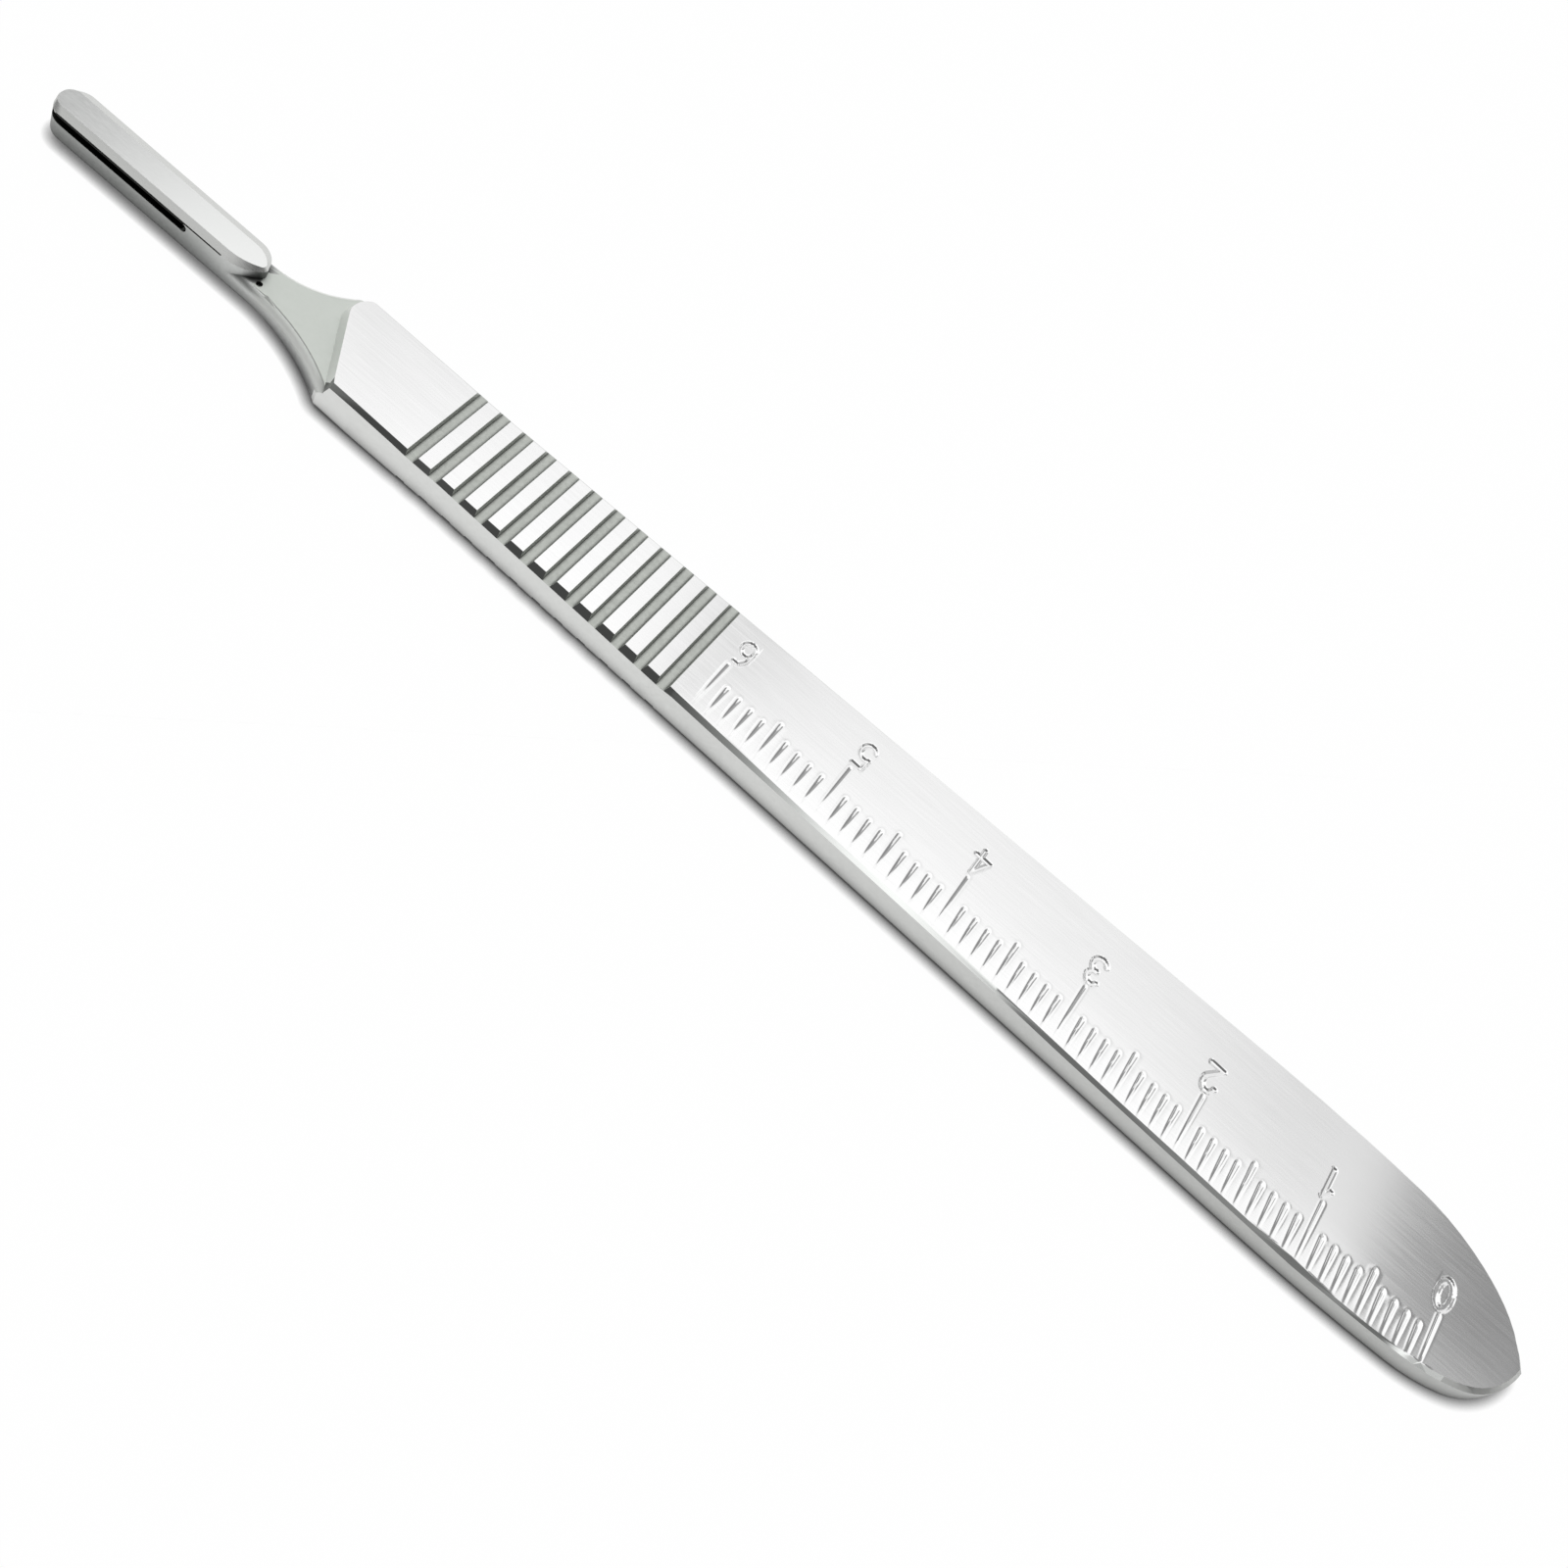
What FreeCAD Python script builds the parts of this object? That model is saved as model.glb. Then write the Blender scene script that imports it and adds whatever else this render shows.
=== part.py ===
import FreeCAD, Part
import math
import os

# A scalpel handle stamped and ground from one flat bar of steel. Millimetres, +Z up.
# It lies on its back face. The blade end points to -X and the tail to +X. The ruler runs
# along the near edge, -Y. Sizes are measured from the front of the blade fitting, and the
# finished handle is centred over the origin at the end.

# Overall sizes
LENGTH = 121.2
GRIP_WIDTH = 7.7
WIDEST = 11.5
SHOULDER_THICKNESS = 2.8
TAIL_THICKNESS = 1.75
TAPER_START = 34.2

# Tail: the two sides bend in a little differently, and meet at a point beside the middle
WIDEST_TO_TAIL = 24.0
TAIL_POINT_OFFSET = -0.4
TAIL_EASE_RADIUS = 150.0
TAIL_EASE_TURN = 4.7
FAR_TAIL_LENGTH = 23.4
FAR_TAIL_RADIUS = 17.0
FAR_TAIL_TURN = 27.0
NEAR_TAIL_LENGTH = 20.4
NEAR_TAIL_RADIUS = 14.5
NEAR_TAIL_TURN = 17.0

# Blade fitting: a narrow bar with bevelled top edges and a blade slot along each side
FITTING_WIDTH = 3.0
FITTING_STEP = 0.05
FITTING_REAR = 16.85
NEAR_REAR_ROUND = 2.5
FAR_REAR_ROUND = 1.7
REAR_TIP_WIDTH = 0.5
REAR_TIP_ROUND = 0.1
REAR_SETBACK = 0.2
REAR_POCKET_SETBACK = 0.1
REAR_POCKET_OFFSET = -0.68
REAR_POCKET_RADIUS = 0.22
REAR_POCKET_DEPTH = 0.35
NOSE_RADIUS = 1.3
NOSE_TOP_RADIUS = 0.8
TOP_BEVEL_WIDTH = 0.6
TOP_BEVEL_DROP = 0.25
SLOT_END = 11.6
SLOT_HEIGHT = 0.56
SLOT_DEPTH = 0.65
SLOT_END_RADIUS = 0.31
NECK_DEPTH = 0.92
FITTING_LIFT = 0.5
LIFT_START = 17.2
LIFT_END = 27.2

# Neck: it flares from the fitting to the grip, further forward on the far side
NEAR_FLARE_START = 16.7
NEAR_FLARE_END = 24.5
FAR_FLARE_START = 16.2
FAR_FLARE_END = 21.2
NECK_EDGE_RADIUS = 0.6
SHOULDER_X = 23.1
SHOULDER_ANGLE = 30.7
SHOULDER_CORNER_RADIUS = 1.5
SHOULDER_DRAFT_WIDTH = 0.4
SHOULDER_OVERLAP = 2.0

# Long edges
TOP_CHAMFER = 0.33
BACK_EDGE_RADIUS = 0.35

# Grip grooves, on both faces
GROOVE_COUNT = 12
GROOVE_START = 31.2
GROOVE_PITCH = 1.886
GROOVE_WIDTH = 0.9
GROOVE_FLOOR = 0.62
GROOVE_DEPTH = 0.33

# Ruler: one tick each millimetre, counted back from the zero near the tail
RULER_TAIL_GAP = 6.7
TICK_COUNT = 61
TICK_SPACING = 1.0
TICKS_PER_LONG = 10
TICKS_PER_MIDDLE = 5
END_TICK = 3.95
LONG_TICK = 4.5
MIDDLE_TICK = 3.3
SHORT_TICK = 2.5
TICK_MARGIN_AT_ZERO = 0.42
TICK_MARGIN_AT_END = 0.95
TICK_WIDTH_AT_ZERO = 0.5
TICK_WIDTH_AT_END = 0.27
TICK_POINT_WIDTH = 0.12
TICK_DEPTH = 0.12

# How far a cutting shape runs past the surface that it cuts
OVERRUN = 1.0

# A face counts as underside when it looks straight down, or within this many degrees of it
UNDERSIDE_ANGLE = 25.0

GRIP_HALF = GRIP_WIDTH / 2
TAPER_LENGTH = LENGTH - WIDEST_TO_TAIL - TAPER_START
TAPER_ANGLE = math.degrees(math.atan2((WIDEST - GRIP_WIDTH) / 2, TAPER_LENGTH))
NECK_TOP = SHOULDER_THICKNESS - NECK_DEPTH
FITTING_HALF = FITTING_WIDTH / 2
FITTING_TOP = SHOULDER_THICKNESS - FITTING_STEP
FACE_SLOPE = (SHOULDER_THICKNESS - TAIL_THICKNESS) / (LENGTH - SHOULDER_X)


def point(x, y, z=0.0):
    return FreeCAD.Vector(x, y, z)


def towards(heading):
    """Unit vector in the plan, at a heading in degrees from +X."""
    return point(math.cos(math.radians(heading)), math.sin(math.radians(heading)))


def line(start, end):
    return Part.LineSegment(start, end).toShape()


def bend(start, heading, radius, turn):
    """Arc that leaves start along heading and turns by turn degrees, left if positive.

    Returns the edge, its end and the heading there.
    """
    side = math.copysign(90.0, turn)
    centre = start + towards(heading + side) * radius
    middle = centre + towards(heading - side + turn / 2) * radius
    end = centre + towards(heading - side + turn) * radius
    return Part.Arc(start, middle, end).toShape(), end, heading + turn


def bend_to(start, heading, end):
    """Arc that leaves start along heading and ends at end."""
    chord = end - start
    turn = 2 * (math.degrees(math.atan2(chord.y, chord.x)) - heading)
    radius = chord.Length / (2 * math.sin(math.radians(abs(turn) / 2)))
    return bend(start, heading, radius, turn)[0]


def rounded_corner(before, corner, after, radius):
    """Arc of the given radius inside a corner, with its two tangent points."""
    back = (before - corner).normalize()
    ahead = (after - corner).normalize()
    half_angle = back.getAngle(ahead) / 2
    bisector = (back + ahead).normalize()
    reach = radius / math.tan(half_angle)
    centre = corner + bisector * (radius / math.sin(half_angle))
    first = corner + back * reach
    last = corner + ahead * reach
    return Part.Arc(first, centre - bisector * radius, last).toShape(), first, last


def plan_face(edges):
    return Part.Face(Part.Wire(Part.__sortEdges__(edges)))


def face_height(x):
    """Height of the sloping top face at x."""
    return SHOULDER_THICKNESS - FACE_SLOPE * (x - SHOULDER_X)


def half_width(x):
    """Half the width of the handle between the neck and the tail."""
    return GRIP_HALF + max(0.0, x - TAPER_START) * math.tan(math.radians(TAPER_ANGLE))


def shoulder_point(y):
    return point(SHOULDER_X - y * math.tan(math.radians(SHOULDER_ANGLE)), y)


def tail_side(side, length, radius, turn):
    """Edges of one long side, from the start of the taper to the point of the tail."""
    start_x = LENGTH - length
    taper_start = point(TAPER_START, side * GRIP_HALF)
    taper_end = point(start_x, side * half_width(start_x))
    tail_point = point(LENGTH, TAIL_POINT_OFFSET)
    ease, ease_end, heading = bend(
        taper_end, side * TAPER_ANGLE, TAIL_EASE_RADIUS, -side * TAIL_EASE_TURN)
    arc, arc_end, heading = bend(ease_end, heading, radius, -side * turn)
    return [line(taper_start, taper_end), ease, arc, bend_to(arc_end, heading, tail_point)]


def handle_body():
    """The flat body behind the shoulder, full thickness, with its sloping top face."""
    front = SHOULDER_X - GRIP_WIDTH
    corners = [point(front, side * GRIP_HALF) for side in (-1, 1)]
    edges = [line(*corners)]
    edges += [line(corner, point(TAPER_START, corner.y)) for corner in corners]
    edges += tail_side(1, FAR_TAIL_LENGTH, FAR_TAIL_RADIUS, FAR_TAIL_TURN)
    edges += tail_side(-1, NEAR_TAIL_LENGTH, NEAR_TAIL_RADIUS, NEAR_TAIL_TURN)
    body = plan_face(edges).extrude(point(0, 0, 2 * SHOULDER_THICKNESS))
    body = body.common(side_profile([
        (front - OVERRUN, 0.0), (LENGTH + OVERRUN, 0.0),
        (LENGTH + OVERRUN, face_height(LENGTH + OVERRUN)),
        (front - OVERRUN, face_height(front - OVERRUN))]))
    body = body.makeChamfer(TOP_CHAMFER, top_side_edges(body, front))
    return body.cut(shoulder_cutter(front - OVERRUN))


def side_profile(corners):
    """Solid with the given outline in X and Z, wider than the handle."""
    outline = [point(x, -WIDEST, z) for x, z in corners]
    return Part.Face(Part.makePolygon(outline + outline[:1])).extrude(point(0, 2 * WIDEST, 0))


def top_side_edges(body, front):
    """Edges of the top face, without the one across its front end."""
    top = max(body.Faces, key=lambda face: face.CenterOfMass.z)
    return [edge for edge in top.Edges if edge.CenterOfMass.x > front + OVERRUN]


def shoulder_outline(front, offset, height):
    """Outline of all that lies in front of the slanting shoulder, moved forward by offset."""
    forward = point(-offset / math.cos(math.radians(SHOULDER_ANGLE)), 0)
    side_y = GRIP_HALF + offset
    near = shoulder_point(-WIDEST) + forward
    corner = shoulder_point(side_y) + forward
    along_side = point(TAPER_START, side_y)
    arc, arc_start, arc_end = rounded_corner(
        near, corner, along_side, SHOULDER_CORNER_RADIUS + offset)
    outside = point(arc_end.x, WIDEST)
    far_front = point(front, WIDEST)
    near_front = point(front, -WIDEST)
    wire = Part.Wire([line(near, arc_start), arc, line(arc_end, outside),
                      line(outside, far_front), line(far_front, near_front),
                      line(near_front, near)])
    wire.translate(point(0, 0, height))
    return wire


def shoulder_cutter(front):
    """Everything in front of the shoulder. Its wall leans back, from foot to top face."""
    foot = shoulder_outline(front, SHOULDER_DRAFT_WIDTH, NECK_TOP)
    above = shoulder_outline(front, -SHOULDER_DRAFT_WIDTH, NECK_TOP + 2 * NECK_DEPTH)
    below = Part.Face(foot).extrude(point(0, 0, -NECK_TOP))
    return below.fuse(Part.makeLoft([foot, above], True, True))


def neck():
    """The tongue under the blade fitting and the flare that joins it to the body."""
    rear = shoulder_point(-GRIP_HALF).x + SHOULDER_OVERLAP
    edges = nose_edges(FITTING_HALF, NOSE_RADIUS)
    ends = []
    for side, start_x, end_x in ((-1, NEAR_FLARE_START, NEAR_FLARE_END),
                                 (1, FAR_FLARE_START, FAR_FLARE_END)):
        start = point(start_x, side * FITTING_HALF)
        end = point(end_x, side * GRIP_HALF)
        ends.append(point(rear, end.y))
        edges += [line(point(NOSE_RADIUS, start.y), start), bend_to(start, 0.0, end),
                  line(end, ends[-1])]
    edges.append(line(*ends))
    plate = plan_face(edges).extrude(point(0, 0, NECK_TOP))
    return plate.makeFillet(NECK_EDGE_RADIUS, flare_top_edges(plate))


def flare_top_edges(plate):
    """The two long arcs where the flares meet the top of the neck."""
    return [edge for edge in plate.Edges
            if edge.BoundBox.ZMin > NECK_TOP / 2 and isinstance(edge.Curve, Part.Circle)
            and edge.CenterOfMass.x > NOSE_RADIUS]


def nose_edges(half, radius):
    """Front line and two round corners of a bar of the given half width."""
    corners = [point(0, side * half) for side in (-1, 1)]
    edges = []
    tangents = []
    for corner, other in (corners, corners[::-1]):
        behind = point(FITTING_REAR, corner.y)
        arc, first, _ = rounded_corner(other, corner, behind, radius)
        edges.append(arc)
        tangents.append(first)
    return [line(*tangents)] + edges


def fitting_outline(half, nose_radius, rear, height):
    """Closed outline of the blade fitting at one height."""
    near = point(FITTING_REAR - NEAR_REAR_ROUND, -half)
    far = point(FITTING_REAR - FAR_REAR_ROUND, half)
    near_tip, far_tip = (
        point(rear - REAR_TIP_ROUND, side * REAR_TIP_WIDTH / 2) for side in (-1, 1))
    edges = nose_edges(half, nose_radius) + [
        line(point(nose_radius, -half), near), bend_to(near, 0.0, near_tip),
        Part.Arc(near_tip, point(rear, 0), far_tip).toShape(),
        bend_to(far, 0.0, far_tip), line(point(nose_radius, half), far)]
    wire = Part.Wire(Part.__sortEdges__(edges))
    wire.translate(point(0, 0, height))
    return wire


def blade_fitting():
    """The bar that the blade slides on, with bevelled top edges and a slot on each side."""
    bevel_foot = FITTING_TOP - TOP_BEVEL_DROP
    base = fitting_outline(FITTING_HALF, NOSE_RADIUS, FITTING_REAR, 0.0)
    foot = fitting_outline(FITTING_HALF, NOSE_RADIUS, FITTING_REAR, bevel_foot)
    top = fitting_outline(
        FITTING_HALF - TOP_BEVEL_WIDTH, NOSE_TOP_RADIUS, FITTING_REAR - REAR_SETBACK, FITTING_TOP)
    bar = Part.Face(base).extrude(point(0, 0, bevel_foot))
    bar = bar.fuse(Part.makeLoft([foot, top], True, True))
    for side in (-1, 1):
        bar = bar.cut(blade_slot(side))
    return bar


def blade_slot(side):
    """Cutter for the slot along one side, open at the nose, with a round at its end."""
    depth = SLOT_DEPTH + OVERRUN
    inner = FITTING_HALF - SLOT_DEPTH
    length = OVERRUN + SLOT_END - SLOT_END_RADIUS
    start_y = inner if side > 0 else -inner - depth
    groove = Part.makeBox(length, depth, SLOT_HEIGHT, point(-OVERRUN, start_y, NECK_TOP))
    end = Part.makeCylinder(SLOT_END_RADIUS, depth,
                            point(SLOT_END - SLOT_END_RADIUS, start_y, NECK_TOP + SLOT_HEIGHT / 2),
                            point(0, 1, 0))
    return groove.fuse(end)


def rear_pocket():
    """Cutter for the small round hollow in the neck beside the rear tip of the fitting."""
    return Part.makeCylinder(REAR_POCKET_RADIUS, REAR_POCKET_DEPTH + OVERRUN,
                             point(FITTING_REAR + REAR_POCKET_SETBACK, REAR_POCKET_OFFSET,
                                   NECK_TOP - REAR_POCKET_DEPTH))


def back_relief():
    """Cutter that lifts the underside of the fitting and ramps down to the back face."""
    return side_profile([(-OVERRUN, -OVERRUN), (LIFT_END, -OVERRUN), (LIFT_END, 0.0),
                         (LIFT_START, FITTING_LIFT), (-OVERRUN, FITTING_LIFT)])


def back_outline_edges(shape):
    """Edges between the underside and the side walls."""
    steepest = -math.cos(math.radians(UNDERSIDE_ANGLE))
    under = [face for face in shape.Faces if face.BoundBox.ZMax < NECK_TOP / 2
             and face.normalAt(*face_middle(face)).z < steepest]
    edges = []
    for face in under:
        others = [edge for twin in under if not twin.isSame(face) for edge in twin.Edges]
        edges += [edge for edge in face.Edges if not any(edge.isSame(other) for other in others)]
    return edges


def face_middle(face):
    u_min, u_max, v_min, v_max = face.ParameterRange
    return (u_min + u_max) / 2, (v_min + v_max) / 2


def groove_cutter(centre_x, surface, inward):
    """One grip groove: a trough across the handle, cut from a surface along inward."""
    slope = (GROOVE_WIDTH - GROOVE_FLOOR) / 2 / GROOVE_DEPTH
    mouth = GROOVE_WIDTH / 2 + slope * OVERRUN
    floor = GROOVE_FLOOR / 2
    corners = [(-mouth, -OVERRUN), (mouth, -OVERRUN), (floor, GROOVE_DEPTH), (-floor, GROOVE_DEPTH)]
    return side_profile([(centre_x + x, surface + inward * depth) for x, depth in corners])


def grip_grooves():
    """Cutters for the grooves of both faces."""
    cutters = []
    for index in range(GROOVE_COUNT):
        x = GROOVE_START + GROOVE_WIDTH / 2 + index * GROOVE_PITCH
        cutters.append(groove_cutter(x, face_height(x), -1))
        cutters.append(groove_cutter(x, 0.0, 1))
    return cutters


def along_ruler(index, at_zero, at_end):
    """Size of one tick, between its sizes at the two ends of the ruler."""
    return at_zero + index / (TICK_COUNT - 1) * (at_end - at_zero)


def tick_cutter(index):
    """One ruler tick: a drop-shaped dent, round and deepest at its inner end."""
    width = along_ruler(index, TICK_WIDTH_AT_ZERO, TICK_WIDTH_AT_END)
    margin = along_ruler(index, TICK_MARGIN_AT_ZERO, TICK_MARGIN_AT_END)
    length = SHORT_TICK
    if index % TICKS_PER_MIDDLE == 0:
        length = MIDDLE_TICK
    if index % TICKS_PER_LONG == 0:
        length = LONG_TICK
    if index in (0, TICK_COUNT - 1):
        length = END_TICK
    x = LENGTH - RULER_TAIL_GAP - index * TICK_SPACING
    outer_y = margin - min(half_width(x), WIDEST / 2)
    round_y = outer_y + length - width / 2
    outer = [point(x + side * TICK_POINT_WIDTH / 2, outer_y) for side in (-1, 1)]
    inner = [point(x + side * width / 2, round_y) for side in (-1, 1)]
    edges = [line(*outer), line(outer[0], inner[0]), line(outer[1], inner[1]),
             Part.Arc(inner[0], point(x, outer_y + length), inner[1]).toShape()]
    dent = plan_face(edges).extrude(point(0, 0, OVERRUN))
    dent.rotate(point(x, outer_y), point(1, 0, 0), -math.degrees(math.atan2(TICK_DEPTH, length)))
    dent.translate(point(0, 0, face_height(x)))
    return dent


def scalpel_handle():
    shape = handle_body().fuse([neck(), blade_fitting()]).removeSplitter()
    shape = shape.cut([rear_pocket(), back_relief()])
    shape = shape.makeFillet(BACK_EDGE_RADIUS, back_outline_edges(shape))
    shape = shape.cut(grip_grooves())
    shape = shape.cut([tick_cutter(index) for index in range(TICK_COUNT)])
    shape.translate(point(-LENGTH / 2, 0))
    return shape


os.makedirs("parts", exist_ok=True)
handle = scalpel_handle()
handle.exportStep("parts/scalpel_handle.step")
print("solids", len(handle.Solids), "valid", handle.isValid(), "volume", round(handle.Volume, 2))
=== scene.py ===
"""A scalpel handle of ground stainless steel on a pale studio floor.

The handle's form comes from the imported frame. This script copies it, gives the ruler face its
soft stamped ticks and figures, dresses every ground, stamped and blasted surface in its own
steel, and sets up the floor, the light and the camera. Sizes in the classes are millimetres,
measured as the part's source measures them: from the front of the blade fitting along the
handle, from its middle line across, and from the floor up.
"""
import logging
import math
from dataclasses import dataclass
from enum import Enum

import bmesh
import bpy
import numpy as np
from mathutils import Matrix


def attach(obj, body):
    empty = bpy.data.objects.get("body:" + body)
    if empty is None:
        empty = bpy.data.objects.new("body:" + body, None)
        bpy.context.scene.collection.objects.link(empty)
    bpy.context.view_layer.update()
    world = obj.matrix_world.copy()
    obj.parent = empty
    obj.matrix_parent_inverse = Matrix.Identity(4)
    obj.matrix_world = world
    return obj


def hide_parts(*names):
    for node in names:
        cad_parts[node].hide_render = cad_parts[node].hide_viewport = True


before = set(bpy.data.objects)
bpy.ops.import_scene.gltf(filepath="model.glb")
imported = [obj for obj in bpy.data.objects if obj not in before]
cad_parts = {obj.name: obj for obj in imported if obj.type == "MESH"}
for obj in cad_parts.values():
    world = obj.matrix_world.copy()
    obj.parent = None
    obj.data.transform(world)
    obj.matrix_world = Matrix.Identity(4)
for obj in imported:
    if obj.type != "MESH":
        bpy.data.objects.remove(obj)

LOG = logging.getLogger("scalpel_handle_scene")

MM = 0.001
NODE = "scalpel_handle"
BODY = "root"

Colour = tuple[float, float, float, float]
Vector3 = tuple[float, float, float]


def linear(hex_colour: str) -> Colour:
    """Turn an sRGB hex colour into a linear one.

    Args:
        hex_colour: Six hexadecimal digits, such as "D9D9D5".

    Returns:
        Linear red, green, blue and an alpha of 1.
    """
    channels = [int(hex_colour[at:at + 2], 16) / 255 for at in (0, 2, 4)]
    turned = [c / 12.92 if c <= 0.04045 else ((c + 0.055) / 1.055) ** 2.4 for c in channels]
    return turned[0], turned[1], turned[2], 1.0


def add_node(tree: bpy.types.NodeTree, kind: str, inputs: dict | None = None,
             **settings: object) -> bpy.types.Node:
    """Add a node to a tree, with its settings and links.

    Args:
        tree: The shader or geometry tree.
        kind: Blender's name for the kind of node.
        inputs: Values or output sockets, by the name or number of the input.
        **settings: Properties of the node itself.

    Returns:
        The new node.
    """
    node = tree.nodes.new(kind)
    for name, value in settings.items():
        setattr(node, name, value)
    for key, value in (inputs or {}).items():
        if isinstance(value, bpy.types.NodeSocket):
            tree.links.new(value, node.inputs[key])
        else:
            node.inputs[key].default_value = value
    return node


def wire(tree: bpy.types.NodeTree, values: dict[str, object], steps: tuple[tuple, ...]) -> None:
    """Add a linked node for each step of a calculation.

    Args:
        tree: The shader or geometry tree.
        values: Sockets by name. Each step adds its result to them.
        steps: Name of the result, operation, and the operands: numbers, or names of values.
            LINEAR and SMOOTHSTEP map a value from a range to a range, SWITCH and MIX choose
            between their second and third operand, and the rest are operations of Math.
    """
    for name, operation, *operands in steps:
        found = dict(enumerate(values.get(operand, operand) for operand in operands))
        if operation in ("LINEAR", "SMOOTHSTEP"):
            node = add_node(tree, "ShaderNodeMapRange", found, interpolation_type=operation)
        elif operation == "SWITCH":
            node = add_node(tree, "GeometryNodeSwitch", found, input_type="FLOAT")
        elif operation == "MIX":
            node = add_node(tree, "ShaderNodeMix", {0: found[0], 2: found[1], 3: found[2]},
                            data_type="FLOAT")
        else:
            node = add_node(tree, "ShaderNodeMath", found, operation=operation)
        values[name] = node.outputs[0]


class Surface(Enum):
    """The differently finished surfaces of the handle, in order of their material slots."""

    FACE = 0
    GROOVE = 1
    BEVEL = 2
    SIDE = 3
    NECK = 4
    FITTING_TOP = 5
    FITTING_SIDE = 6
    SLOT = 7
    TONGUE = 8
    SHOULDER = 9
    NECK_EDGE = 10
    CREASE = 11


@dataclass(frozen=True)
class SteelFinish:
    """Stainless steel with one way of finishing its surface."""

    name: str
    colour: str
    tint: str
    roughness: float
    roughness_spread: float
    grain_length: float
    grain_width: float
    grain_height: float
    # Painted shade from ambient occlusion: how strongly it darkens the colour, and how far it
    # looks
    painted_shade: float = 0.0
    painted_shade_reach: float = 0.2
    # Painted light and shade along X: the colour gives way to the tint between these places
    painted_ramp_from: float | None = None
    painted_ramp_to: float = 0.0

    def build(self) -> bpy.types.Material:
        """Make the material, with its grain in real millimetres on Object coordinates.

        Returns:
            The new material.
        """
        material = bpy.data.materials.new(self.name)
        material.use_nodes = True
        tree = material.node_tree
        tree.nodes.clear()
        place = add_node(tree, "ShaderNodeTexCoord")
        stretch = (1 / self.grain_length / MM, 1 / self.grain_width / MM,
                   1 / self.grain_width / MM)
        mapped = add_node(tree, "ShaderNodeMapping", {
            "Vector": place.outputs["Object"], "Scale": stretch})
        grain = add_node(tree, "ShaderNodeTexNoise", {
            "Vector": mapped.outputs["Vector"], "Scale": 1.0, "Detail": 4.0,
            "Roughness": 0.6})
        share = grain.outputs["Fac"]
        # With a ramp, the tint is painted light and shade along X instead of following the grain
        if self.painted_ramp_from is not None:
            axes = add_node(tree, "ShaderNodeSeparateXYZ", {0: place.outputs["Object"]})
            share = add_node(tree, "ShaderNodeMapRange", {
                "Value": axes.outputs["X"], "From Min": self.painted_ramp_from * MM,
                "From Max": self.painted_ramp_to * MM}, interpolation_type="SMOOTHSTEP").outputs[0]
        colour = add_node(tree, "ShaderNodeMix", {
            "Factor": share, 6: linear(self.colour), 7: linear(self.tint)},
            data_type="RGBA").outputs[2]
        if self.painted_shade:
            # Painted shade: ambient occlusion darkens the steel in corners and near the table
            corner = add_node(tree, "ShaderNodeAmbientOcclusion", {
                "Distance": self.painted_shade_reach * MM}, samples=8)
            unoccluded = add_node(tree, "ShaderNodeMath", {
                0: corner.outputs["AO"], 1: self.painted_shade}, operation="POWER").outputs[0]
            colour = add_node(tree, "ShaderNodeMix", {
                "Factor": unoccluded, 6: (0, 0, 0, 1), 7: colour}, data_type="RGBA").outputs[2]
        rough = add_node(tree, "ShaderNodeMapRange", {
            "Value": grain.outputs["Fac"], "From Min": 0.3, "From Max": 0.7,
            "To Min": self.roughness - self.roughness_spread,
            "To Max": self.roughness + self.roughness_spread})
        bump = add_node(tree, "ShaderNodeBump", {
            "Height": grain.outputs["Fac"], "Strength": 1.0,
            "Distance": self.grain_height * MM})
        shader = add_node(tree, "ShaderNodeBsdfPrincipled", {
            "Base Color": colour, "Metallic": 1.0,
            "Roughness": rough.outputs["Result"], "Normal": bump.outputs["Normal"]})
        add_node(tree, "ShaderNodeOutputMaterial", {"Surface": shader.outputs["BSDF"]})
        return material


# Each grain is drawn coarser than the real one, which is some hundredths of a millimetre, so
# that it shows at all.
# Flat-ground on a belt along the handle: bright and smooth, with a fine lengthwise grain
GROUND = SteelFinish("stainless_steel_belt_ground", "D5D5D5", "E3E3E3", 0.11, 0.025,
                     4.0, 0.14, 0.00045)
# Stamped and never ground: a dull grey that leans to green, rough from the die, with painted shade
# darkening the corners of the grooves
STAMPED = SteelFinish("stainless_steel_die_stamped", "B3B6B1", "BDC0BB", 0.52, 0.08,
                      0.30, 0.30, 0.006, painted_shade=2.4)
# Edge broken on a fine wheel: smooth and mirror-like, so it shows the dark side of the room; its
# colour is painted shade as well, dark towards the grip and lighter towards the tail
LINISHED = SteelFinish("stainless_steel_linished_edge", "8E908E", "DCDEDC", 0.14, 0.03,
                       1.5, 0.12, 0.0004, painted_ramp_from=-4.0, painted_ramp_to=8.0)
# Blanked side, then tumbled: satin, with a fine grain, and a colour painted darker towards the
# tail as shade
BLANKED = SteelFinish("stainless_steel_tumbled_side", "DBDCDA", "B8B9B7", 0.34, 0.06,
                      0.35, 0.25, 0.003, painted_ramp_from=-20.0, painted_ramp_to=55.0)
# Bead-blasted hollow round the fitting: even, matt and a little green
BLASTED = SteelFinish("stainless_steel_bead_blasted", "CED2CD", "D4D8D3", 0.60, 0.05,
                      0.20, 0.20, 0.003)
# Milled top of the fitting: bright with soft reflections
MILLED = SteelFinish("stainless_steel_milled_top", "D8D9D8", "DFE0DF", 0.13, 0.03,
                     0.6, 0.10, 0.0006)
# Milled bevels of the fitting: a little duller than its top
MILLED_BEVEL = SteelFinish("stainless_steel_milled_bevel", "C6C7C5", "CCCDCB", 0.30, 0.05,
                           0.6, 0.10, 0.001)
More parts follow.
